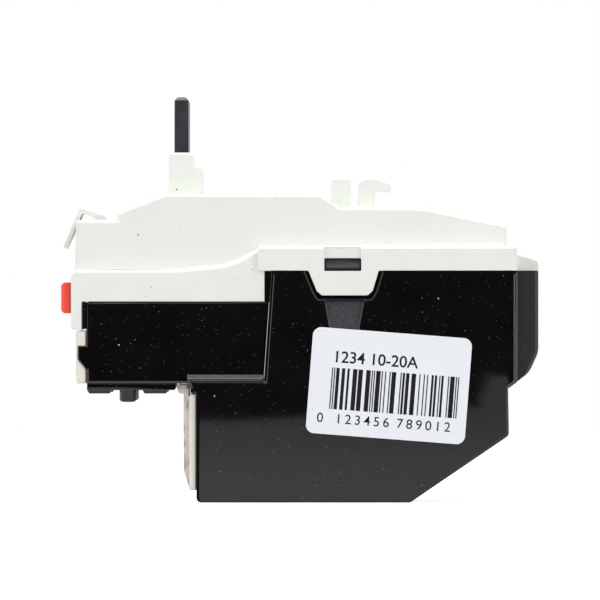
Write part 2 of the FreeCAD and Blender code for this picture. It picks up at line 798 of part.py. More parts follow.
def clamp_plate(x1, thickness, side, hole_r, y, z):
    plate = across(x1 - thickness, x1, side / 2, z - side / 2, z + side / 2, y)
    edges = [e for e in plate.Edges if abs(e.Vertexes[0].X - e.Vertexes[1].X) > thickness / 2]
    plate = plate.makeFillet(0.8, edges)
    return plate.cut(rod_x(hole_r, x1 - thickness - 1, x1 + 1, y, z))


def slotted_screw(head_x, head_r, head, thread_r, tip_x, y, z):
    """Pan-head screw with a cross slot, head to the front."""
    body = join(rod_x(head_r, head_x, head_x + head, y, z), rod_x(thread_r, head_x + head - 0.1, tip_x, y, z))
    rim = [e for e in body.Edges if len(e.Vertexes) == 1 and abs(e.Vertexes[0].X - head_x) < 1e-6]
    body = body.makeFillet(head * 0.3, rim)
    for half_y, half_z in ((head_r * 0.75, 0.5), (0.5, head_r * 0.75)):
        body = body.cut(box(head_x - 1, head_x + head * 0.5, y - half_y, y + half_y, z - half_z, z + half_z))
    return body


def power_plate_x():
    return power_bar_x - power_gap


def control_plate_x():
    return control_bar_x - control_gap


# ---------------------------------------------------------------- bimetal heart

def bimetal_strip(y):
    strip = across(strip_x - strip_width / 2, strip_x + strip_width / 2, strip_thickness / 2,
                   strip_foot_z + 0.1, strip_top_z, y)
    return strip.makeFillet(1.2, [e for e in strip.Edges
                                  if all(v.Z > strip_top_z - 0.01 for v in e.Vertexes)
                                  and abs(e.Vertexes[0].Y - e.Vertexes[1].Y) > strip_thickness / 2])


def heater_winding(y):
    """Heater ribbon on its insulating sleeve round the strip."""
    half_x = strip_width / 2 + 0.6
    half_y = strip_thickness / 2 + 0.6
    top = winding_foot_z + winding_turns * winding_pitch
    sleeve = across(strip_x - half_x, strip_x + half_x, half_y, winding_foot_z, top, y)
    turns = []
    for i in range(winding_turns):
        z = winding_foot_z + (i + 0.2) * winding_pitch
        turns.append(across(strip_x - half_x - 0.6, strip_x + half_x + 0.6, half_y + 0.6,
                            z, z + winding_wire, y))
    coil = join(sleeve, *turns)
    return coil.cut(across(strip_x - strip_width / 2 - fit, strip_x + strip_width / 2 + fit,
                           strip_thickness / 2 + fit, winding_foot_z - 1, top + 1, y))


def inner_frame():
    """Plate on the partitions: slots for the strips and conductors, rails for the slide bars, pin boss."""
    front = joint_face_x(frame_z + frame_thickness) + wall + seat
    top = frame_z + frame_thickness
    plate = across(front, plate_rear_x - wall - gap, half_width - wall - 0.2, frame_z, top)
    rails = []
    for x in (strip_x - slide_half_x + 0.2, strip_x + slide_half_x - 1.2):
        rails.append(across(x, x + 1.0, half_width - wall - 4.0, top - 0.1, top + rail))
    frame = join(plate, *rails)
    frame = join(frame, rod_z(pin_r + 1.2, top - 0.1, hub_z - seat, lever_x, lever_y))
    for y in pole_ys:
        frame = frame.cut(across(strip_x - strip_width / 2 - 0.5, strip_x + strip_width / 2 + 0.5,
                                 strip_thickness / 2 + trip_travel + 0.6, frame_z - 1, top + rail + 1, y))
        frame = frame.cut(across(bus_rear_x - busbar - 0.3, bus_rear_x + 0.3, blade_width / 2 + 0.3,
                                 frame_z - 1, top + 1, y))
    return frame.cut(rod_z(pin_r, frame_z - 1, top + 4, lever_x, lever_y))


slide_z = frame_z + frame_thickness + rail + fit
upper_slide_z = slide_z + slide_thickness + gap
diff_z = upper_slide_z + slide_thickness + gap
diff_x = strip_x + 2.0
diff_y = pole_ys[-1] + 3.4
diff_post_r = 1.0


def slide_bar(z, push_side):
    """Bar across the poles. push_side +1 has the strips behind its working edges, -1 in front of them."""
    bar = box(strip_x - slide_half_x, strip_x + slide_half_x, pole_ys[0] - 3.8, diff_y + 1.8, z,
              z + slide_thickness)
    near = strip_thickness / 2 + 0.12
    for y in pole_ys:
        low = y - near - (notch if push_side > 0 else 0)
        high = y + near + (notch if push_side < 0 else 0)
        bar = bar.cut(box(strip_x - strip_width / 2 - gap, strip_x + strip_width / 2 + gap, low, high,
                          z - 1, z + slide_thickness + 1))
        bar = bar.cut(box(strip_x - slide_half_x - 1, strip_x - slide_half_x + 1.2,
                          y + pole_pitch / 2 - 2.5, y + pole_pitch / 2 + 2.5, z - 1, z + slide_thickness + 1))
    return bar


def outer_slide_bar():
    bar = slide_bar(slide_z, 1)
    # post through the inner bar that carries the differential lever
    return join(bar, rod_z(diff_post_r, slide_z, diff_z + slide_thickness + 0.6, diff_x, diff_y))


def inner_slide_bar():
    bar = slide_bar(upper_slide_z, -1)
    return bar.cut(rod_z(diff_post_r + 2 * gap, upper_slide_z - 1, upper_slide_z + slide_thickness + 1,
                         diff_x, diff_y))


def differential_lever():
    """Lever on the outer bar whose nose pushes the compensation strip."""
    z0 = diff_z
    nose_x = lever_x + arm_reach
    lever = join(
        rod_z(1.9, z0, z0 + slide_thickness, diff_x, diff_y),
        box(nose_x, diff_x, diff_y - 0.9, diff_y + 0.9, z0, z0 + slide_thickness),
        rod_z(0.9, z0, z0 + slide_thickness, nose_x, diff_y))
    return lever.cut(rod_z(diff_post_r + fit, z0 - 1, z0 + slide_thickness + 1, diff_x, diff_y))


strip_arm_y = diff_y + 0.9 + seat
arm_z0 = diff_z - 0.2
arm_z1 = diff_z + 3.4
hub_z = arm_z0 - 1.0
arm_half = 1.2
arm_top_z = base_height + 5.0
arm_height = 2.4


def compensation_strip():
    """Ambient-compensating bimetal that the differential lever pushes."""
    return box(lever_x + 2.8, lever_x + arm_reach + 1.2, strip_arm_y, strip_arm_y + 0.8, arm_z0, arm_z1)


def trip_lever():
    """Moulded lever on the pin: holds the compensation strip, and its arm pulls the contact carrier back."""
    hub = rod_z(pin_r + 1.4, hub_z, arm_top_z, lever_x, lever_y)
    holder = box(lever_x, lever_x + 4.8, strip_arm_y - 1.0, strip_arm_y + 1.8, arm_z0, arm_z1)
    arm = box(lever_x - arm_half, lever_x + arm_half, lever_y - arm_reach, lever_y,
              arm_top_z - arm_height, arm_top_z)
    lever = join(hub, holder, arm)
    lever = lever.cut(rod_z(pin_r + fit, hub_z - 1, arm_top_z + 1, lever_x, lever_y))
    return lever.cut(box(lever_x + 2.8, lever_x + 6.0, strip_arm_y, strip_arm_y + 0.8, arm_z0 - 1, arm_z1 + 1))


# ---------------------------------------------------------------- contacts

carrier_z = control_top_z + gap


def contact_carrier():
    """Moulded slide that holds the two moving bridges. Its tail hooks behind the trip lever's arm."""
    reach = control_ys[-1] - 1.5
    rear = carrier_x + carrier_depth
    body = across(carrier_x, rear, reach, carrier_z, carrier_z + carrier_height)
    tail_y = lever_y - arm_reach + 1.2
    tail_z = arm_top_z - arm_height - gap
    hook_x = lever_x + arm_half + gap + seat
    pieces = [
        across(carrier_x, rear, 1.2, carrier_z, tail_z, tail_y),
        across(carrier_x, hook_x + 1.4, 1.2, tail_z - 1.4, tail_z, tail_y),
        across(hook_x, hook_x + 1.4, 1.2, tail_z - 0.1, arm_top_z, tail_y),
    ]
    for y in keel_ys:
        pieces.append(across(carrier_x + keel_inset, rear - keel_inset, keel_half,
                             control_top_z - keel_depth, carrier_z + 0.1, y))
    return join(body, *pieces)


def moving_bridge(front):
    """Strip with a contact at each end. front is True for the normally closed pair."""
    ys = control_ys[:2] if front else control_ys[2:]
    z = control_top_z + 3.0
    if front:
        strip = box(carrier_x - bridge, carrier_x, ys[0] - 2.0, ys[1] + 2.0, z - 1.6, z + 1.2)
        contacts = [rod_x(contact_r - 0.1, carrier_x - bridge - rivet, carrier_x - bridge, y, z) for y in ys]
    else:
        x = carrier_x + carrier_depth
        strip = box(x, x + bridge, ys[0] - 2.0, ys[1] + 2.0, z - 1.6, z + 1.2)
        contacts = [rod_x(contact_r - 0.1, x + bridge, x + bridge + rivet, y, z) for y in ys]
    return join(strip, *contacts)


# ---------------------------------------------------------------- front controls

def stop_button():
    front = lip_front_x - stop_proud
    rear = stop_seat_x
    cap = across(front, rear, stop_width / 2, stop_z - stop_height / 2, stop_z + stop_height / 2, stop_y)
    cap = cap.makeChamfer(0.5, [e for e in cap.Edges if all(v.X < front + 0.01 for v in e.Vertexes)])
    return join(cap, rod_x(stem_r, rear - 0.1, stem_end_x, stop_y, stop_z + stem_rise))


def reset_button():
    front = reset_front_x
    cap = rod_x(reset_r, front, front + reset_cap, reset_y, reset_z)
    cap = cap.makeFillet(0.3, [e for e in cap.Edges if len(e.Vertexes) == 1 and e.Vertexes[0].X < front + 0.01])
    flange = rod_x(reset_r + 0.7, front + reset_cap, reset_seat_x, reset_y, reset_z)
    cap = join(cap, flange)
    stem = rod_x(stem_r, reset_seat_x - 0.1, stem_end_x, reset_y, reset_z)
    slot = box(front - 1, front + 0.8, reset_y - 2.0, reset_y + 2.0, reset_z - 0.4, reset_z + 0.4)
    return join(cap, stem).cut(slot)


def return_spring(x0, x1, y, z, turns):
    """Compression spring along X: flat turns, each joined to the next by a short bridge."""
    pitch = (x1 - x0 - spring_wire - 2 * spring_end) / (turns - 1)
    outer = spring_r + spring_wire / 2
    inner = spring_r - spring_wire / 2
    pieces = []
    for i in range(turns):
        start = x0 + spring_end + i * pitch
        ring = rod_x(outer, start, start + spring_wire, y, z).cut(rod_x(inner, start - 1, start + 1, y, z))
        pieces.append(ring)
        if i < turns - 1:
            side = 1 if i % 2 else -1
            pieces.append(across(start + spring_wire / 2, start + pitch + spring_wire / 2,
                                 spring_wire / 2, z - spring_wire / 2, z + spring_wire / 2, y + side * spring_r))
    return join(*pieces)


def setting_dial():
    front = dial_front_x
    knob = rod_x(dial_r, front, front + 1.6, dial_y, dial_z)
    knob = knob.makeChamfer(0.25, [e for e in knob.Edges if len(e.Vertexes) == 1 and e.Vertexes[0].X < front + 0.01])
    flange = rod_x(dial_r + 0.4, front + 1.75, front + 2.6, dial_y, dial_z)
    neck = rod_x(dial_r - 0.4, front + 1.5, front + 1.8, dial_y, dial_z)
    shaft = rod_x(dial_shaft_r, front + 2.5, front + dial_shaft, dial_y, dial_z)
    slots = [box(front - 1, front + 0.7, dial_y - a, dial_y + a, dial_z - b, dial_z + b)
             for a, b in ((dial_r * 0.6, 0.45), (0.45, dial_r * 0.6))]
    dial = join(knob, neck, flange, shaft)
    for slot in slots:
        dial = dial.cut(slot)
    return dial


def dial_cam():
    """Eccentric on the dial's shaft."""
    x0 = dial_front_x + dial_shaft - 3.0
    cam = rod_x(cam_r, x0, x0 + 2.2, dial_y, dial_z + 0.7)
    return cam.cut(rod_x(dial_shaft_r, x0 - 1, x0 + 4, dial_y, dial_z))


def trip_flag():
    """Pin on the contact carrier that sinks behind the front when the relay has tripped."""
    pin = rod_x(flag_r, lip_front_x + 0.1, carrier_x, flag_y, flag_z)
    return pin.makeChamfer(0.2, [e for e in pin.Edges if len(e.Vertexes) == 1
                                 and e.Vertexes[0].X < lip_front_x + 0.2])


def clear_cover():
    """L-shaped clear flap, modelled shut and then turned open about its hinge."""
    top = front_step_z + 1.0
    under = front_step_z + 0.12
    outer_x = upper_front_x - 0.25
    leg_z = front_step_z - flap_front_leg + 0.5
    flap = prism([
        (flap_hinge_x, under), (flap_hinge_x, top), (outer_x, top - 0.2, 0.8), (outer_x - 0.05, leg_z),
        (outer_x + flap_wall * 0.7, leg_z), (outer_x + flap_wall, under, 0.4)], flap_y0, flap_y1 - 0.2)
    barrel = rod_y(0.85, flap_y0, flap_y1 - 0.2, flap_hinge_x, flap_hinge_z)
    pins = rod_y(flap_pin_r, flap_y0 - gap - 1.0, flap_y1 - 0.2 + gap + 1.0, flap_hinge_x, flap_hinge_z)
    flap = join(flap, barrel, pins)
    flap.rotate(V(flap_hinge_x, 0, flap_hinge_z), V(0, 1, 0), flap_open_deg)
    return flap


# ---------------------------------------------------------------- label

def side_label():
    x0, x1 = label_x - label_width / 2, label_x + label_width / 2
    z0, z1 = label_z - label_height / 2, label_z + label_height / 2
    r = label_corner
    label = prism([(x0, z0, r), (x1, z0, r), (x1, z1, r), (x0, z1, r)],
                  -half_width - label_thickness, -half_width)
    label.rotate(V(label_x, 0, label_z), V(0, 1, 0), label_tilt_deg)
    return label


# ---------------------------------------------------------------- all nodes

def build():
    nodes = {
        "base_housing": base_housing(),
        "top_cover": top_cover(),
        "control_block": control_block(),
        "control_bottom_plate": control_bottom_plate(),
        "control_terminal_front": control_terminal_front(),
        "power_terminal_front": power_terminal_front(),
        "side_label": side_label(),
        "inner_frame": inner_frame(),
        "lever_pivot_pin": rod_z(pin_r, frame_z, arm_top_z + 0.8, lever_x, lever_y),
        "clear_cover": clear_cover(),
        "setting_dial": setting_dial(),
        "dial_cam": dial_cam(),
        "reset_button": reset_button(),
        "reset_spring": return_spring(reset_seat_x, guide_x, reset_y, reset_z, 4),
        "stop_button": stop_button(),
        "stop_spring": return_spring(stop_seat_x, guide_x, stop_y, stop_z + stem_rise, 6),
        "trip_flag": trip_flag(),
        "outer_slide_bar": outer_slide_bar(),
        "inner_slide_bar": inner_slide_bar(),
        "differential_lever": differential_lever(),
        "trip_lever": trip_lever(),
        "compensation_strip": compensation_strip(),
        "contact_carrier": contact_carrier(),
        "nc_bridge": moving_bridge(True),
        "no_bridge": moving_bridge(False),
    }
    for i, y in enumerate(pole_ys, 1):
        plate_x = power_plate_x()
        nodes[f"connection_blade_{i}"] = connection_blade(y)
        nodes[f"load_bar_{i}"] = load_bar(y)
        nodes[f"bimetal_strip_{i}"] = bimetal_strip(y)
        nodes[f"heater_winding_{i}"] = heater_winding(y)
        nodes[f"power_clamp_{i}"] = clamp_plate(plate_x, power_clamp, power_clamp_side,
                                                power_thread_r + fit, y, power_screw_z)
        nodes[f"power_screw_{i}"] = slotted_screw(plate_x - power_clamp - power_head, power_head_r, power_head,
                                                  power_thread_r, power_bar_x + power_bar + 1.0, y,
                                                  power_screw_z)
    for i, y in enumerate(control_ys, 1):
        plate_x = control_plate_x()
        nodes[f"contact_bar_{i}"] = contact_bar(y)
        nodes[f"control_clamp_{i}"] = clamp_plate(plate_x, control_clamp, control_clamp_side,
                                                  control_thread_r + fit, y, control_screw_z)
        nodes[f"control_screw_{i}"] = slotted_screw(plate_x - control_clamp - control_head, control_head_r,
                                                    control_head, control_thread_r,
                                                    control_bar_x + control_bar + 1.5, y, control_screw_z)
    return nodes


os.makedirs("parts", exist_ok=True)
for node, shape in build().items():
    shape.exportStep(f"parts/{node}.step")
    kind = "" if shape.isValid() else "  INVALID"
    print(f"{node:26s} {len(shape.Solids)} solid(s) {shape.Volume:10.1f} mm3{kind}")
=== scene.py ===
import bmesh
import bpy
import json
import math
import random
from mathutils import Matrix, Vector

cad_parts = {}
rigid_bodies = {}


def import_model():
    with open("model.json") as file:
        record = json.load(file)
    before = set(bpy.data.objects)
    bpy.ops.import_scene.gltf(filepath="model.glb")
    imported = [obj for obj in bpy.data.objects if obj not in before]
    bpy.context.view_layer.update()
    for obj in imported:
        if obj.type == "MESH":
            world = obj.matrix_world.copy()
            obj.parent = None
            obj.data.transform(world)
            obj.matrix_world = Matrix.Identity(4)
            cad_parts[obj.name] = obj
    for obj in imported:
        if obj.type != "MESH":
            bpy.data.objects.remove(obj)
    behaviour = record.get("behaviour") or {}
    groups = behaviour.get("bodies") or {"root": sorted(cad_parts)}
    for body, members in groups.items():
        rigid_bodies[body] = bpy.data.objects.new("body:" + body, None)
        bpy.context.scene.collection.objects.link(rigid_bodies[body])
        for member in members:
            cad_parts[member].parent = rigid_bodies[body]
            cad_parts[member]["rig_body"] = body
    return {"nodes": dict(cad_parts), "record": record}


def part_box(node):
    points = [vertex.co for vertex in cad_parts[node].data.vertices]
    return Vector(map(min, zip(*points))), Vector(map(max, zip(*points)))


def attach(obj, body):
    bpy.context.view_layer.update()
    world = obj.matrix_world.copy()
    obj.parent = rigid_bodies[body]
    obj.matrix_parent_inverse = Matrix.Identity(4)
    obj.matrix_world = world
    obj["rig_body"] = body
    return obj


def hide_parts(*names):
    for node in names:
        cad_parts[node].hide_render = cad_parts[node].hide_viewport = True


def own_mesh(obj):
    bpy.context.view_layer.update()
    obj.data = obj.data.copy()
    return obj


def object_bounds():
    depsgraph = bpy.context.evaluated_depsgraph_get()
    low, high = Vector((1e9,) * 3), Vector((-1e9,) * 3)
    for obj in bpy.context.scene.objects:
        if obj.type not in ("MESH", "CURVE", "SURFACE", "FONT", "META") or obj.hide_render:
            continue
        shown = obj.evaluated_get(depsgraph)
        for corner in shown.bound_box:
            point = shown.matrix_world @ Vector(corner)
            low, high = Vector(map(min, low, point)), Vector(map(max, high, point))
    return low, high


# Looks of the thermal overload relay. Metres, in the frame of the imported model.
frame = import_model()
cad_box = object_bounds()
nodes = frame["nodes"]
slot_of = {s["node"]: s["material_slot"] for s in frame["record"]["subparts"]}
scene = bpy.context.scene
MM = 0.001
SIDES = ((-1, "near"), (1, "far"))

# ---- sizes of the relay, as in the CAD ----
base_low, base_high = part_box("base_housing")
block_low, block_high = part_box("control_block")
cover_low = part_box("top_cover")[0]
SIDE = base_high[1]                 # outer face of the side plates and the flange
SKIRT_SIDE = block_high[1]          # control block and the cover's skirt
UPPER_SIDE = SIDE - 2.5 * MM        # cover above the ledges
HINGE = (-37.9 * MM, 53.3 * MM)     # X and Z of the clear cover's hinge
HUMP_CORNER = (43.07 * MM, 24.5 * MM)       # X and Z of the rear hump's lower corner

# X stations
SHADOW_WEDGE_FRONT = -6.6 * MM       # painted shadow in the gap at the joint with the control block
SHADOW_WEDGE_REAR_FOOT = -5.72 * MM
SHADOW_WEDGE_REAR_TOP = -5.32 * MM
PLATE_FRONT = -4.6 * MM     # top edge of the side plates
PLATE_REAR = 40.2 * MM
TONGUE_FRONT = 0.5 * MM     # snap tongue of the cover
TONGUE_REAR = 16.1 * MM
CATCH_FRONT = 3.5 * MM      # catch and the ramp below it
CATCH_REAR = 13.0 * MM
WINDOW_FRONT = 4.2 * MM     # window in the tongue
WINDOW_REAR = 12.0 * MM
HUMP_FRONT = 41.0 * MM      # behind the side plates, where the satin rear hump begins

# heights
SHOULDER_SHADE = (17.0 * MM, 23.6 * MM)     # front edge of the side plates, in the block's shadow
HUMP_FOOT = 22.0 * MM
RAMP_TOP = 38.0 * MM
PLATE_TOP = 43.6 * MM
CATCH_FOOT = 43.7 * MM
CATCH_TOP = 46.5 * MM


# ---------------------------------------------------------------- materials

def srgb(r, g, b):
    """Linear colour of an 8-bit sRGB one."""
    def linear(v):
        v /= 255
        if v <= 0.04045:
            return v / 12.92
        return ((v + 0.055) / 1.055) ** 2.4
    return (linear(r), linear(g), linear(b), 1.0)


MIX_INPUTS = (0, 6, 7)      # the Mix node's sockets for its factor and two colours
MIX_RESULT = 2


class Surface:
    """A Principled material with helpers for its procedural detail."""

    def __init__(self, name, colour, roughness, **sockets):
        self.material = bpy.data.materials.new(name)
        self.material.use_nodes = True
        self.tree = self.material.node_tree
        self.shader = self.tree.nodes["Principled BSDF"]
        self.shader.inputs["Base Color"].default_value = colour
        self.shader.inputs["Roughness"].default_value = roughness
        for socket, value in sockets.items():
            self.shader.inputs[socket.replace("_", " ")].default_value = value
        self.colour = colour
        self.where = self.node("ShaderNodeTexCoord").outputs["Object"]
        self.bumped = None

    def node(self, kind, **values):
        """A new shader node with these properties."""
        made = self.tree.nodes.new(kind)
        for key, value in values.items():
            setattr(made, key, value)
        return made

    def link(self, out, into):
        """Joins two sockets."""
        self.tree.links.new(out, into)

    def noise(self, size, detail=2.0, stretch=(1, 1, 1)):
        """Noise whose features are about size metres across."""
        mapping = self.node("ShaderNodeMapping")
        mapping.inputs["Scale"].default_value = stretch
        self.link(self.where, mapping.inputs["Vector"])
        noise = self.node("ShaderNodeTexNoise")
        noise.inputs["Scale"].default_value = 1 / size
        noise.inputs["Detail"].default_value = detail
        self.link(mapping.outputs["Vector"], noise.inputs["Vector"])
        return noise.outputs["Fac"]

    def ramp(self, value, *stops):
        """Colour along the stops, each (place, colour), as value goes from 0 to 1."""
        ramp = self.node("ShaderNodeValToRGB")
        elements = ramp.color_ramp.elements
        while len(elements) < len(stops):
            elements.new(0.5)
        for element, (place, colour) in zip(elements, stops):
            element.position = place
            element.color = colour
        self.link(value, ramp.inputs["Fac"])
        return ramp.outputs["Color"]

    def mottled(self, size, detail, dark, light, low=0.3, high=0.7):
        """The surface's colour, drifting between a dark and a light shade of it."""
        shades = ((low, shade(self.colour, dark)), (high, shade(self.colour, light)))
        return self.ramp(self.noise(size, detail), *shades)

    def mix(self, factor, first, second):
        """The first colour where factor is 0 and the second where it is 1."""
        mix = self.node("ShaderNodeMix", data_type="RGBA")
        for place, value in zip(MIX_INPUTS, (factor, first, second)):
            socket = mix.inputs[place]
            if isinstance(value, bpy.types.NodeSocket):
                self.link(value, socket)
            else:
                socket.default_value = value
        return mix.outputs[MIX_RESULT]

    def bump(self, height, depth):
        """Adds a bump of depth metres."""
        bump = self.node("ShaderNodeBump")
        bump.inputs["Distance"].default_value = depth
        self.link(height, bump.inputs["Height"])
        if self.bumped:
            self.link(self.bumped, bump.inputs["Normal"])
        self.bumped = bump.outputs["Normal"]
        self.link(self.bumped, self.shader.inputs["Normal"])

    def specks(self, spacing, radius, share, seed=0.0):
        """1 inside small round specks, which a share of the cells have."""
        mapping = self.node("ShaderNodeMapping")
        mapping.inputs["Location"].default_value = (seed, seed * 1.7, seed * 0.6)
        self.link(self.where, mapping.inputs["Vector"])
        cells = self.node("ShaderNodeTexVoronoi")
        cells.inputs["Scale"].default_value = 1 / spacing
        self.link(mapping.outputs["Vector"], cells.inputs["Vector"])
        near = self.node("ShaderNodeMath", operation="LESS_THAN")
        near.inputs[1].default_value = radius / spacing
        self.link(cells.outputs["Distance"], near.inputs[0])
        split = self.node("ShaderNodeSeparateColor")
        self.link(cells.outputs["Color"], split.inputs["Color"])
        chosen = self.node("ShaderNodeMath", operation="LESS_THAN")
        chosen.inputs[1].default_value = share
        self.link(split.outputs["Red"], chosen.inputs[0])
        both = self.node("ShaderNodeMath", operation="MULTIPLY")
        self.link(near.outputs[0], both.inputs[0])
        self.link(chosen.outputs[0], both.inputs[1])
        return both.outputs[0]

    def colour_from(self, out):
        """The surface takes its colour from this socket."""
        self.link(out, self.shader.inputs["Base Color"])

    def roughness_from(self, value, low, high):
        """Roughness between low and high as value goes from 0 to 1."""
        spread = self.node("ShaderNodeMapRange")
        spread.inputs["To Min"].default_value = low
        spread.inputs["To Max"].default_value = high
        self.link(value, spread.inputs["Value"])
        self.link(spread.outputs["Result"], self.shader.inputs["Roughness"])


def shade(colour, factor):
    """A darker or lighter colour."""
    return tuple(c * factor for c in colour[:3]) + (1.0,)


def moulded(name, colour, roughness, grain, peel, dust, dust_colour, mottling, shine=0.5):
    """Injection-moulded plastic: fine grain and orange peel (both in mm), faint mottling and dust specks."""
    surface = Surface(name, colour, roughness, Specular_IOR_Level=shine)
    tint = surface.mottled(9 * MM, 3.0, 1 - mottling, 1 + mottling, 0.35, 0.65)
    mask = surface.specks(0.9 * MM, 0.10 * MM, dust)
    large = surface.specks(2.4 * MM, 0.17 * MM, dust, 3.1)
    tint = surface.mix(mask, tint, dust_colour)
    tint = surface.mix(large, tint, dust_colour)
    surface.colour_from(tint)
    surface.roughness_from(surface.noise(2.2 * MM, 4.0), roughness * 0.85, roughness * 1.2)
    surface.bump(surface.noise(1.1 * MM, 1.0), peel * MM)
    surface.bump(surface.noise(0.14 * MM, 2.0), grain * MM)
    return surface.material


def metal(name, colour, roughness, brushed=(1, 1, 12)):
    """Drawn or plated metal with fine brushed lines."""
    surface = Surface(name, colour, roughness, Metallic=1.0)
    surface.roughness_from(surface.noise(0.8 * MM, 4.0, brushed), roughness * 0.7, roughness * 1.4)
    surface.colour_from(surface.mottled(3 * MM, 3.0, 0.82, 1.08))
    surface.bump(surface.noise(0.5 * MM, 3.0, brushed), 0.004 * MM)
    return surface.material


GREY = srgb(236, 239, 232)
CREAM = srgb(240, 234, 224)
BLACK = srgb(14, 12, 13)
DUST = srgb(120, 120, 118)

# spacing, radius, share of the cells, seed and grey of each layer of dust on the polished black
DUST_LAYERS = ((0.5, 0.09, 0.14, 0.0, 72), (0.9, 0.11, 0.08, 3.1, 110), (2.0, 0.16, 0.06, 8.3, 190))


def glossy_black():
    """Polished black moulding: a mirror with slight waves, orange peel and dust."""
    surface = Surface("black_plastic", BLACK, 0.05, Specular_IOR_Level=0.37)
    tint = surface.mottled(7 * MM, 3.0, 0.8, 1.3)
    for spacing, radius, share, seed, grey in DUST_LAYERS:
        mask = surface.specks(spacing * MM, radius * MM, share, seed)
        tint = surface.mix(mask, tint, srgb(grey, grey, grey))
    surface.colour_from(tint)
    surface.roughness_from(surface.noise(2.5 * MM, 4.0), 0.01, 0.025)
    surface.bump(surface.noise(45 * MM, 0.0), 0.012 * MM)
    surface.bump(surface.noise(1.6 * MM, 1.0), 0.00012 * MM)
    return surface.material


def grainy_black_with_glints(name, colour):
    """Rough spark-eroded face, as on the catches and their ramps, painted lighter than the black, with
    painted glints on its grain.
    """
    surface = Surface(name, colour, 0.42)
    grain = surface.noise(0.32 * MM, 2.0)
    # painted glints: the grain's high points are lighter than the black
    surface.colour_from(surface.ramp(grain, (0.4, shade(colour, 0.55)), (0.62, shade(colour, 1.5))))
    surface.roughness_from(surface.noise(0.5 * MM, 2.0), 0.3, 0.55)
    surface.bump(grain, 0.05 * MM)
    return surface.material


def shaded_red():
    """Red button, with painted shade where it enters the cover."""
    colour = srgb(250, 76, 52)
    surface = Surface("red_plastic", colour, 0.3)
    split = surface.node("ShaderNodeSeparateXYZ")
    surface.link(surface.where, split.inputs[0])
    # painted shade: the red darkens over the last 0.5 mm before the cover
    spread = surface.node("ShaderNodeMapRange")
    spread.inputs["From Min"].default_value = cover_low[0] - 0.7 * MM
    spread.inputs["From Max"].default_value = cover_low[0] - 0.2 * MM
    surface.link(split.outputs["X"], spread.inputs["Value"])
    tint = surface.mottled(3 * MM, 3.0, 0.96, 1.04, 0.35, 0.65)
    surface.colour_from(surface.mix(spread.outputs["Result"], tint, srgb(196, 44, 34)))
    surface.roughness_from(surface.noise(2.2 * MM, 4.0), 0.25, 0.36)
    surface.bump(surface.noise(1.1 * MM, 1.0), 0.003 * MM)
    return surface.material


def clear_plastic():
    """Slightly yellowed clear plastic with hazy edges."""
    surface = Surface("clear_plastic", srgb(254, 249, 238), 0.2, IOR=1.5, Transmission_Weight=0.08)
    tint = surface.ramp(surface.noise(6 * MM, 2.0), (0.3, srgb(253, 246, 230)), (0.7, srgb(255, 252, 245)))
    surface.colour_from(tint)
    surface.roughness_from(surface.noise(3 * MM, 3.0), 0.15, 0.32)
    surface.bump(surface.noise(1.5 * MM, 1.0), 0.004 * MM)
    return surface.material


def paper(name, colour):
    """Coated label paper with a few specks."""
    surface = Surface(name, colour, 0.38)
    tint = surface.mottled(4 * MM, 3.0, 0.985, 1.0)
    mask = surface.specks(2.6 * MM, 0.09 * MM, 0.02, 5.0)
    surface.colour_from(surface.mix(mask, tint, srgb(120, 120, 120)))
    surface.bump(surface.noise(0.25 * MM, 3.0), 0.0015 * MM)
    return surface.material


def ink():
    """Thermal print, a little uneven."""
    surface = Surface("thermal_print", srgb(18, 16, 18), 0.6, Specular_IOR_Level=0.15)
    tint = surface.ramp(surface.noise(0.35 * MM, 3.0), (0.4, srgb(10, 9, 10)), (0.8, srgb(40, 38, 40)))
    surface.colour_from(tint)
    return surface.material


def shade_and_marks():
    """Cream plastic darkened as painted shade, with faint grey handling marks."""
    # painted shade: darker than the cream of the rest of the front
    colour = srgb(214, 209, 199)
    surface = Surface("shaded_marked_cream", colour, 0.4)
    marks = surface.noise(1.8 * MM, 2.0, (1, 1, 0.6))
    surface.colour_from(surface.ramp(marks, (0.45, colour), (0.6, srgb(168, 166, 162))))
    surface.roughness_from(surface.noise(1.0 * MM, 3.0), 0.35, 0.5)
    surface.bump(surface.noise(0.14 * MM, 2.0), 0.003 * MM)
    return surface.material


materials = {
    "black_housing": glossy_black(),
    "grey_cover": moulded("grey_plastic", GREY, 0.42, 0.004, 0.003, 0.025, srgb(120, 118, 112), 0.012),
    "cream_front": moulded("cream_plastic", CREAM, 0.45, 0.004, 0.003, 0.03, srgb(120, 110, 95), 0.03),
    "red_button": shaded_red(),
    "blue_button": moulded("blue_plastic", srgb(28, 84, 176), 0.3, 0.001, 0.003, 0.0, DUST, 0.04),
    "dial_white": moulded("dial_plastic", srgb(236, 236, 228), 0.4, 0.002, 0.002, 0.0, DUST, 0.02),
    "inner_moulding": moulded("inner_plastic", srgb(70, 72, 75), 0.45, 0.003, 0.003, 0.0, DUST, 0.05),
    "slide_moulding": moulded("slide_plastic", srgb(224, 219, 205), 0.45, 0.003, 0.003, 0.0, DUST, 0.03),
    # painted reflection: the plated blades are darkened as if mirroring dark surroundings
    "blade_metal": metal("dark_reflection_metal", srgb(72, 74, 77), 0.3, (1, 1, 0.2)),
    "steel": metal("zinc_plate", srgb(196, 196, 190), 0.3),
    "copper_alloy": metal("copper_alloy", srgb(205, 160, 100), 0.3),
    "bimetal": metal("bimetal_strip", srgb(150, 146, 138), 0.35),
    "heater": metal("heater_ribbon", srgb(130, 122, 112), 0.4),
    "clear_flap": clear_plastic(),
    "label": paper("label_paper", srgb(240, 243, 248)),
}

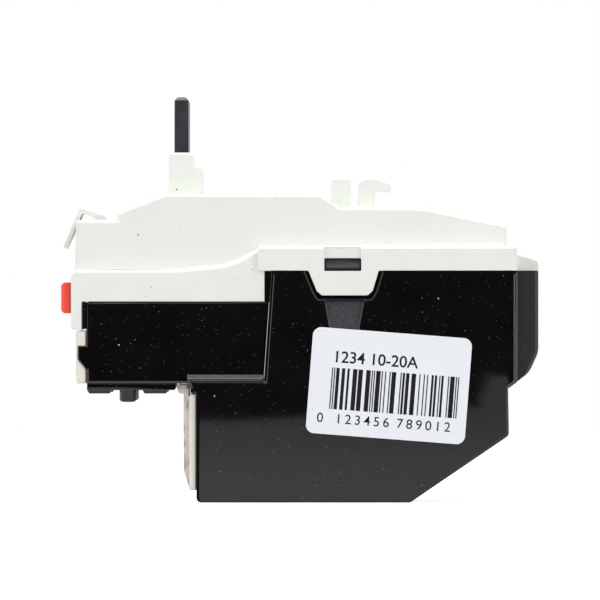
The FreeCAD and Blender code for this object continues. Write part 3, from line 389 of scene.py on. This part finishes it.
print_ink = ink()
shaded_marked_cream = shade_and_marks()
# painted light: the catches and ramps are a lighter black, where the rough faces catch the lamps
rough_glinting_black = grainy_black_with_glints("rough_glinting_black", srgb(46, 46, 52))
# painted light: the black shoulder is grey, where its upward slope catches the lamps
shoulder_lit_grey = grainy_black_with_glints("shoulder_lit_plastic", srgb(44, 45, 46))
# painted highlight: a grey line on the black shoulder's ridge
highlight_grey = srgb(120, 121, 123)
ridge_highlight = moulded("ridge_highlight_plastic", highlight_grey, 0.4, 0.0015, 0.002, 0.3, srgb(60, 60, 60), 0.04)
# painted highlight: the rounded edges of the black mouldings are a lighter grey than the black
edge_highlight_grey = moulded("edge_highlight_plastic", srgb(52, 52, 53), 0.35, 0.0015, 0.002, 0.08, DUST, 0.2)
shadow_black = moulded("shadow_plastic", srgb(9, 8, 9), 0.85, 0.0015, 0.002, 0.0, DUST, 0.2, 0.05)
satin_black = moulded("satin_black_plastic", BLACK, 0.3, 0.0015, 0.002, 0.04, DUST, 0.15)


def paint(obj, material):
    """Gives the object this one material."""
    obj.data.materials.clear()
    obj.data.materials.append(material)


def index_of(mesh, material):
    """The material's index on the mesh, which gets the material if it is new to it."""
    if material.name not in mesh.materials:
        mesh.materials.append(material)
    return mesh.materials.find(material.name)


# ---------------------------------------------------------------- softened mouldings

def sharp_edges(bm, degrees):
    """The edges whose two faces meet at more than this angle."""
    bm.normal_update()
    limit = math.radians(degrees)
    return [e for e in bm.edges if len(e.link_faces) == 2 and e.calc_face_angle(0) > limit]


def roomy(edges, width):
    """The edges whose ends have space for a bevel of this width."""
    kept = set(edges)
    for turn in range(3):       # leaving an edge out can cramp its neighbours
        cramped = set()
        for edge in kept:
            others = [e for v in edge.verts for e in v.link_edges if e not in kept]
            if any(e.calc_length() < 1.6 * width for e in others):
                cramped.add(edge)
        kept -= cramped
    return [edge for edge in edges if edge in kept]


def round_edges(bm, edges, width, segments, material=-1, clamp=False):
    """Bevels the edges; a material of -1 takes the neighbours' material."""
    bmesh.ops.bevel(bm, geom=edges, offset=width, segments=segments, profile=0.6, affect="EDGES",
                    clamp_overlap=clamp, material=material)


def new_piece(name, mesh, material, body="relay_body"):
    """A piece that rides on the body. Its mesh keeps the materials it has already."""
    piece = bpy.data.objects.new(name, mesh)
    scene.collection.objects.link(piece)
    if not mesh.materials:
        mesh.materials.append(material)
    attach(piece, body)
    return piece


def finish_shading(piece):
    """Flat faces stay flat and the rounded edges run into them."""
    weighted = piece.modifiers.new("flat", "WEIGHTED_NORMAL")
    weighted.weight = 80
    weighted.keep_sharp = True
    bpy.context.view_layer.update()
    graph = bpy.context.evaluated_depsgraph_get()
    baked = bpy.data.meshes.new_from_object(piece.evaluated_get(graph), preserve_all_data_layers=True,
                                            depsgraph=graph)
    piece.modifiers.clear()
    piece.data = baked


def smooth_but_sharp(bm):
    """Smooth shading that breaks at the edges that are still sharp."""
    for face in bm.faces:
        face.smooth = True
    for edge in bm.edges:
        edge.smooth = True
    for edge in sharp_edges(bm, 38):
        edge.smooth = False


def softened(node, width, wide=()):
    """A copy of a CAD node with its edges rounded, shown in the node's place.

    wide lists the edges that are rounded more, as (test of an edge, width, segments).
    """
    source = nodes[node]
    mesh = source.data.copy()
    bm = bmesh.new()
    bm.from_mesh(mesh)
    bmesh.ops.remove_doubles(bm, verts=bm.verts, dist=2e-6)
    bmesh.ops.dissolve_limit(bm, angle_limit=math.radians(0.6), verts=bm.verts, edges=bm.edges)
    for chosen, wide_width, segments in wide:
        round_edges(bm, [e for e in sharp_edges(bm, 20) if chosen(e)], wide_width, segments)
    outer = [e for e in sharp_edges(bm, 40) if not is_hidden(node, e)]
    # the rounded edges of the black mouldings get the grey of a painted highlight
    edge_material = -1
    if slot_of[node] == "black_housing":
        edge_material = index_of(mesh, edge_highlight_grey)
    round_edges(bm, roomy(outer, width), width, 2, edge_material, node.endswith("_front"))
    smooth_but_sharp(bm)
    bm.to_mesh(mesh)
    bm.free()
    if "custom_normal" in mesh.attributes:
        mesh.attributes.remove(mesh.attributes["custom_normal"])
    piece = new_piece("soft_" + node, mesh, materials[slot_of[node]], source["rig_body"])
    finish_shading(piece)
    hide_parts(node)
    return piece


def is_hidden(node, edge):
    """Edges that stay sharp: the button's inner end, the block's top under the skirt, and the hinge."""
    ends = [v.co for v in edge.verts]
    if node == "stop_button":
        return max(p.x for p in ends) > block_low[0] + 0.5 * MM
    if node == "control_block":
        return min(p.z for p in ends) > block_high[2] - 0.05 * MM
    if node in ("clear_cover", "top_cover"):
        return all(math.hypot(p.x - HINGE[0], p.z - HINGE[1]) < 1.1 * MM for p in ends)
    return False


def beside(edge, y):
    """Edge that lies at this distance from the middle of the relay."""
    return all(abs(abs(v.co.y) - y) < 0.02 * MM for v in edge.verts)


def joins_top_and_side(edge):
    """Edge of the cover between an upper face and a side face."""
    upward = max(f.normal.z for f in edge.link_faces) > 0.3
    sideways = max(abs(f.normal.y) for f in edge.link_faces) > 0.9
    return upward and sideways and min(v.co.z for v in edge.verts) > block_high[2] + 3 * MM


def skirt_ledge(edge):
    """Upper edge of the cover's wider lower part."""
    return beside(edge, SKIRT_SIDE) and joins_top_and_side(edge)


def ledge_corner(edge):
    """Inner corner where the cover rises from its ledges."""
    return beside(edge, UPPER_SIDE) and joins_top_and_side(edge) and not edge.is_convex


def hump_corner(edge):
    """Edge along Y at the rear hump's lower corner."""
    a, b = [v.co for v in edge.verts]
    level = abs(a.x - b.x) < 1e-6 and abs(a.z - b.z) < 1e-6
    return level and abs(a.x - HUMP_CORNER[0]) < 1.0 * MM and abs(a.z - HUMP_CORNER[1]) < 1.0 * MM


# edges that are rounded more: (test, width, segments)
soft_wide = {
    "top_cover": [(skirt_ledge, 0.66 * MM, 3), (ledge_corner, 0.47 * MM, 2)],
    "base_housing": [(hump_corner, 1.3 * MM, 4)],
}

# how far each visible moulding's edges are rounded, in mm
soft_edges = {
    "base_housing": 0.16, "top_cover": 0.22, "control_block": 0.14, "control_bottom_plate": 0.12,
    "control_terminal_front": 0.2, "power_terminal_front": 0.2, "clear_cover": 0.12, "stop_button": 0.25,
    "connection_blade_1": 0.18, "connection_blade_2": 0.18, "connection_blade_3": 0.18,
}

for node, obj in nodes.items():
    paint(obj, materials[slot_of[node]])
soft = {node: softened(node, width * MM, soft_wide.get(node, ())) for node, width in soft_edges.items()}


def finish_base():
    """Finishes of the base: spark-eroded catches and ramps with painted glints, a satin hump, and painted
    shade on edges in shadow, with a painted highlight along the joint.
    """
    base = soft["base_housing"].data
    finishes = (edge_highlight_grey, rough_glinting_black, satin_black, shadow_black)
    edge, rough, satin, shadow = [index_of(base, finish) for finish in finishes]
    ramp_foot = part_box("side_label")[1][2] - 4 * MM
    for face in base.polygons:
        centre = face.center
        normal = face.normal
        inward = SIDE - abs(centre.y)

        at_catch = CATCH_FRONT < centre.x < CATCH_REAR and ramp_foot < centre.z < CATCH_TOP
        on_ramp = centre.z < RAMP_TOP and abs(normal.y) > 0.5
        on_catch = centre.z > CATCH_FOOT
        if at_catch and 0.02 * MM < inward < 2.0 * MM and (on_ramp or on_catch):
            face.material_index = rough

        if centre.x > HUMP_FRONT and centre.z > HUMP_FOOT:
            face.material_index = satin

        # painted shade on the slanting front edges of the side plates, with a painted highlight only along
        # the joint
        slanting = 0.3 < abs(normal.y) < 0.97 and normal.x < -0.3
        if slanting and inward < 0.6 * MM and centre.x < 0:
            face.material_index = shadow
            at_joint = centre.x < block_high[0] + 1.5 * MM and centre.z > HUMP_FOOT
            if at_joint and inward > 0.35 * MM:
                face.material_index = edge

        # painted shade on rounded edges that the shoulder and the cover's flange keep in shadow
        shade_low, shade_high = SHOULDER_SHADE
        under_shoulder = centre.x < base_low[0] + 1.6 * MM and shade_low < centre.z < shade_high
        beside_tongue = not TONGUE_FRONT < centre.x < TONGUE_REAR
        under_flange = centre.z > PLATE_TOP - 0.8 * MM and beside_tongue
        if face.material_index == edge and (under_shoulder or under_flange) and inward < 2 * MM:
            face.material_index = shadow


def finish_power_front():
    """The raised field of the power terminal front gets painted shade, a little darker, with grey handling
    marks.
    """
    front = soft["power_terminal_front"].data
    shaded_marked = index_of(front, shaded_marked_cream)
    front_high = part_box("power_terminal_front")[1]
    rear = front_high[0] - 1.35 * MM
    top = front_high[2] - 1.9 * MM
    for face in front.polygons:
        if abs(face.normal.y) > 0.5 and face.center.x < rear and face.center.z < top:
            face.material_index = shaded_marked


def finish_block():
    """The block's rounded rear edges lie in the shadow of the side plates."""
    block = soft["control_block"].data
    shadow = index_of(block, shadow_black)
    for face in block.polygons:
        rounded = abs(face.normal.y) < 0.995 and abs(face.center.y) > SKIRT_SIDE - 0.6 * MM
        if rounded and face.center.x > block_high[0] - 1.5 * MM:
            face.material_index = shadow


finish_base()
finish_power_front()
finish_block()


# ---------------------------------------------------------------- button springs

def pressed_spring(node):
    """A copy of the spring with a mesh of its own, shown in the spring's place."""
    source = nodes[node]
    piece = new_piece("live_" + node, source.data.copy(), materials[slot_of[node]],
                      source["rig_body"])
    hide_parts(node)
    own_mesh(piece)


for node, joint in (("stop_spring", "stop_press"), ("reset_spring", "reset_press")):
    pressed_spring(node)


# ---------------------------------------------------------------- thin trims

def mesh_of(bm, name):
    """Ends the drawing of a mesh."""
    mesh = bpy.data.meshes.new(name)
    bm.to_mesh(mesh)
    bm.free()
    return mesh


def prism_mesh(name, sections):
    """Solid strip through equal cross sections, each a list of (x, y, z)."""
    bm = bmesh.new()
    rings = [[bm.verts.new(p) for p in section] for section in sections]
    count = len(rings[0])
    for first, second in zip(rings, rings[1:]):
        for i in range(count):
            j = (i + 1) % count
            bm.faces.new((first[i], first[j], second[j], second[i]))
    bm.faces.new(rings[0][::-1])
    bm.faces.new(rings[-1])
    bmesh.ops.recalc_face_normals(bm, faces=bm.faces)
    return mesh_of(bm, name)


def side_strip(name, x0, x1, profile, material):
    """Strip along X on both sides. profile lists (distance in from the side plate, z)."""
    for side, end in SIDES:
        sections = [[(x, side * (SIDE - depth), z) for depth, z in profile] for x in (x0, x1)]
        new_piece(f"{name}_{end}", prism_mesh(name, sections), material)


def band(depth, thickness, foot, top):
    """Profile of a flat strip whose outer face lies this depth in from the side plate."""
    return [(depth, foot), (depth, top), (depth + thickness, top), (depth + thickness, foot)]


def shoulder_ridge():
    """Sloped shoulder under the control block, with the fine ridge along it, grey as painted light on its
    upward slope.
    """
    foot = block_low[2] - 0.45 * MM
    slope = [(0.02, -0.55), (0.55, 1.25)]
    ridge = [(0.50, 1.35), (0.42, 1.45), (0.50, 1.58), (0.62, 1.62)]
    inner = [(0.97, 2.1), (1.2, 2.1), (1.2, -0.55)]
    profile = [(depth * MM, foot + rise * MM) for depth, rise in slope + ridge + inner]
    side_strip("shoulder_ridge", base_low[0] - 0.65 * MM, block_high[0] - 1.1 * MM, profile, shoulder_lit_grey)


def ridge_highlight_line():
    """Painted highlight: a fine bright line along the shoulder's ridge."""
    foot = block_low[2] + 0.9 * MM
    top = foot + 0.16 * MM
    line = [(0.40 * MM, foot), (0.44 * MM, top), (0.7 * MM, top), (0.7 * MM, foot)]
    side_strip("shoulder_highlight_line", base_low[0] - 0.6 * MM, block_high[0] - 1.15 * MM, line, ridge_highlight)


def joint_shadow_wedge():
    """Painted shadow: a black wedge over the rear end of the cover's skirt, where the gap at the joint lies
    in shade.
    """
    foot = block_high[2] + 0.02 * MM
    top = PLATE_TOP - 0.05 * MM
    outline = [(SHADOW_WEDGE_FRONT, foot), (SHADOW_WEDGE_REAR_FOOT, foot), (SHADOW_WEDGE_REAR_TOP, top), (SHADOW_WEDGE_FRONT, top)]
    depths = (SKIRT_SIDE - 0.1 * MM, SKIRT_SIDE + 0.06 * MM)
    for side, end in SIDES:
        sections = [[(x, side * y, z) for x, z in outline] for y in depths]
        new_piece(f"joint_shadow_wedge_{end}", prism_mesh("joint_shadow_wedge", sections), shadow_black)


def rim_strips():
    """The side plates run square up to the cover."""
    rim = band(0.01 * MM, 0.5 * MM, PLATE_TOP - 0.6 * MM, PLATE_TOP - 0.02 * MM)
    side_strip("rim_front", PLATE_FRONT, TONGUE_FRONT, rim, materials["black_housing"])
    side_strip("rim_rear", TONGUE_REAR, PLATE_REAR, rim, materials["black_housing"])


def seam_shade_strips():
    """Painted shade: dark strips in the seam between the cover's skirt and the control block, and behind the
    windows.
    """
    seam = band(1.15 * MM, 0.45 * MM, block_high[2] - 0.3 * MM, block_high[2] + 0.3 * MM)
    side_strip("skirt_seam_shade", block_low[0] + 2.2 * MM, block_high[0] - 0.4 * MM, seam, satin_black)
    backing = band(1.75 * MM, 0.2 * MM, PLATE_TOP - 0.3 * MM, PLATE_TOP + 2.7 * MM)
    side_strip("window_shade_backing", WINDOW_FRONT, WINDOW_REAR, backing, satin_black)


shoulder_ridge()
ridge_highlight_line()
joint_shadow_wedge()
rim_strips()
seam_shade_strips()


# ---------------------------------------------------------------- label print

label_low, label_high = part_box("side_label")
label_centre = Vector(((label_low[0] + label_high[0]) / 2, label_low[1], (label_low[2] + label_high[2]) / 2))
LABEL_TILT = math.radians(4.4)
PRINT = 0.012 * MM          # thickness of the print
CAP_SHARE = 0.69            # a capital's height as a share of the font's size

# the print's places from the label's centre
BARS_LEFT = -10.9 * MM
BARS_RIGHT = 13.1 * MM
BARS_FOOT = -5.2 * MM
BARS_TOP = 2.6 * MM
LINE_FOOT = 3.65 * MM
DIGITS_LEFT = -13.1 * MM
DIGITS_FOOT = -7.8 * MM
DIGIT_STEP = 1.79 * MM
WIDE_STEPS = {0: 3.5 * MM, 6: 2.6 * MM}     # after the last digit of a group


def print_on_label(name, bm):
    """Prints a drawing, made round the origin in X and Z, on the tilted label."""
    mesh = mesh_of(bm, name)
    mesh.transform(Matrix.Translation(label_centre) @ Matrix.Rotation(LABEL_TILT, 4, "Y"))
    new_piece(name, mesh, print_ink)


def add_box(bm, x0, x1, y0, y1, z0, z1):
    """Adds a plain box to the drawing."""
    corners = [bm.verts.new((x, y, z)) for x in (x0, x1) for y in (y0, y1) for z in (z0, z1)]
    for face in ((0, 1, 3, 2), (4, 6, 7, 5), (0, 4, 5, 1), (2, 3, 7, 6), (0, 2, 6, 4), (1, 5, 7, 3)):
        bm.faces.new([corners[i] for i in face])


def bars():
    """A made-up pattern of bars and gaps, of one to four modules each, between two guard bars."""
    chance = random.Random(21)
    guard = [1, 1, 1]
    widths = guard + [chance.choice((1, 1, 2, 3, 1, 2, 4)) for i in range(53)] + guard
    module = (BARS_RIGHT - BARS_LEFT) / sum(widths)
    bm = bmesh.new()
    x = BARS_LEFT
    for i, count in enumerate(widths):
        width = count * module
        if i % 2 == 0:
            add_box(bm, x, x + width, -PRINT, 0, BARS_FOOT, BARS_TOP)
        x += width
    bmesh.ops.recalc_face_normals(bm, faces=bm.faces)
    return bm


def add_text(bm, text, cap_height, weight, x, z):
    """Adds flat text standing in the XZ plane, its left end at x and its foot at z."""
    curve = bpy.data.curves.new("line", "FONT")
    curve.body = text
    curve.size = cap_height / CAP_SHARE
    curve.offset = weight
    curve.extrude = PRINT / 2
    drawn = bpy.data.objects.new("line", curve)
    scene.collection.objects.link(drawn)
    drawn.rotation_euler = (math.radians(90), 0, 0)
    drawn.location = (x, -PRINT / 2, z)
    bpy.context.view_layer.update()
    mesh = bpy.data.meshes.new_from_object(drawn)
    mesh.transform(drawn.matrix_world)
    bpy.data.objects.remove(drawn)
    bm.from_mesh(mesh)


def top_line():
    """Plain numbers in the place of the type number."""
    bm = bmesh.new()
    add_text(bm, "1234 10-20A", 2.1 * MM, 0.035 * MM, BARS_LEFT, LINE_FOOT)
    return bm


def digit_row():
    """Digits at an even pitch, in groups of one, six and six."""
    bm = bmesh.new()
    x = DIGITS_LEFT
    for i, digit in enumerate("0123456789012"):
        add_text(bm, digit, 1.75 * MM, 0.01 * MM, x, DIGITS_FOOT)
        x += WIDE_STEPS.get(i, DIGIT_STEP)
    return bm


print_on_label("label_bars", bars())
print_on_label("label_top_line", top_line())
print_on_label("label_digits", digit_row())


# ---------------------------------------------------------------- camera, lights, stage

FRAME_WIDTH = 112.8 * MM    # what the picture spans at the near side of the relay
CAMERA_X = 0.08 * MM
CAMERA_Z = 38.1 * MM
DISTANCE = 3.0
SENSOR = 36                 # mm

TARGET = (0, 0, 0.035)
LAMPS = (                   # name, place, width, height, radiance
    ("key_left", (-0.95, -0.85, 0.55), 0.8, 0.9, 3.4),
    ("key_right", (0.95, -0.85, 0.55), 0.8, 0.9, 3.4),
    ("top", (0, -0.06, 1.0), 1.0, 0.3, 7.0),
    ("back_left", (-0.9, 0.6, 0.4), 0.5, 0.7, 1.5),
    ("back_right", (0.9, 0.6, 0.4), 0.5, 0.7, 1.5),
)

FLOOR_REAR = 1.6
FLOOR_HALF = 1.5
FLOOR_FRONT = ((-0.04, -1.85), (0.085, -2.9))   # ends of the slanting front edge
FLOOR_DROP = 0.02 * MM      # keeps the floor off the relay's bottom face
FLOOR_SEEN = 0.82           # glow to the camera and in reflections
FLOOR_LIT = 0.1             # glow as a light

FLAG_HALF = 1.2
FLAG_PLACE = (0, -3.5, 0.2)


def camera():
    """Long lens square to the relay's side."""
    lens = bpy.data.cameras.new("camera")
    lens.sensor_width = SENSOR
    lens.lens = SENSOR * DISTANCE / FRAME_WIDTH
    lens.clip_start = 0.05
    lens.clip_end = 50
    body = bpy.data.objects.new("camera", lens)
    body.location = (CAMERA_X, cad_box[0][1] - DISTANCE, CAMERA_Z)
    body.rotation_euler = (math.radians(90), 0, 0)
    scene.collection.objects.link(body)
    scene.camera = body


def area_light(name, place, width, height, radiance):
    """Soft box of this radiance, aimed at the relay and unseen by the camera."""
    light = bpy.data.lights.new(name, "AREA")
    light.shape = "RECTANGLE"
    light.size = width
    light.size_y = height
    light.energy = radiance * math.pi * width * height
    box = bpy.data.objects.new(name, light)
    box.location = place
    box.rotation_euler = (Vector(TARGET) - Vector(place)).to_track_quat("-Z", "Y").to_euler()
    box.visible_camera = False
    scene.collection.objects.link(box)


def floor():
    """White floor. Its front edge is slanted to end the black side's reflection as it should."""
    (near_x, near_y), (far_x, far_y) = FLOOR_FRONT
    outline = [(-FLOOR_HALF, FLOOR_REAR), (-FLOOR_HALF, near_y), (near_x, near_y), (far_x, far_y),
               (FLOOR_HALF, far_y), (FLOOR_HALF, FLOOR_REAR)]
    bm = bmesh.new()
    bm.faces.new([bm.verts.new((x, y, 0)) for x, y in outline])
    plane = bpy.data.objects.new("floor", mesh_of(bm, "floor"))
    plane.location = (0, 0, -FLOOR_DROP)
    scene.collection.objects.link(plane)
    surface = Surface("pale_floor", (0.5, 0.5, 0.5, 1), 0.7)
    surface.shader.inputs["Emission Color"].default_value = (1, 1, 1, 1)
    path = surface.node("ShaderNodeLightPath")
    seen = surface.node("ShaderNodeMath", operation="MAXIMUM")
    surface.link(path.outputs["Is Camera Ray"], seen.inputs[0])
    surface.link(path.outputs["Is Glossy Ray"], seen.inputs[1])
    glow = surface.node("ShaderNodeMapRange")
    glow.inputs["To Min"].default_value = FLOOR_LIT
    glow.inputs["To Max"].default_value = FLOOR_SEEN
    surface.link(seen.outputs[0], glow.inputs["Value"])
    surface.link(glow.outputs["Result"], surface.shader.inputs["Emission Strength"])
    surface.bump(surface.noise(3 * MM, 2.0), 0.01 * MM)
    paint(plane, surface.material)


def black_flag():
    """Dark studio cloth behind the camera, which the polished side mirrors."""
    bm = bmesh.new()
    bmesh.ops.create_grid(bm, x_segments=6, y_segments=6, size=FLAG_HALF)
    cloth = bpy.data.objects.new("flag", mesh_of(bm, "flag"))
    cloth.location = FLAG_PLACE
    cloth.rotation_euler = (math.radians(90), 0, 0)
    scene.collection.objects.link(cloth)
    surface = Surface("black_cloth", (0.015, 0.015, 0.016, 1), 0.9)
    surface.bump(surface.noise(4 * MM, 2.0), 0.3 * MM)
    paint(cloth, surface.material)
    cloth.visible_camera = False
    cloth.visible_transmission = False
    cloth.visible_diffuse = False
    cloth.visible_shadow = False


def backdrop():
    """White to the camera, to reflections and through clear pieces, and a dim room as fill light."""
    world = bpy.data.worlds.new("studio")
    world.use_nodes = True
    scene.world = world
    tree = world.node_tree
    tree.nodes.clear()
    path = tree.nodes.new("ShaderNodeLightPath")
    seen = path.outputs["Is Camera Ray"]
    for ray in ("Is Glossy Ray", "Is Transmission Ray"):
        either = tree.nodes.new("ShaderNodeMath")
        either.operation = "MAXIMUM"
        tree.links.new(seen, either.inputs[0])
        tree.links.new(path.outputs[ray], either.inputs[1])
        seen = either.outputs[0]
    white = tree.nodes.new("ShaderNodeBackground")
    white.inputs["Color"].default_value = (1, 1, 1, 1)
    room = tree.nodes.new("ShaderNodeBackground")
    room.inputs["Color"].default_value = (0.2, 0.2, 0.205, 1)
    mix = tree.nodes.new("ShaderNodeMixShader")
    tree.links.new(seen, mix.inputs[0])
    tree.links.new(room.outputs[0], mix.inputs[1])
    tree.links.new(white.outputs[0], mix.inputs[2])
    out = tree.nodes.new("ShaderNodeOutputWorld")
    tree.links.new(mix.outputs[0], out.inputs["Surface"])


camera()
for lamp in LAMPS:
    area_light(*lamp)
floor()
black_flag()
backdrop()
scene.view_settings.view_transform = "Standard"
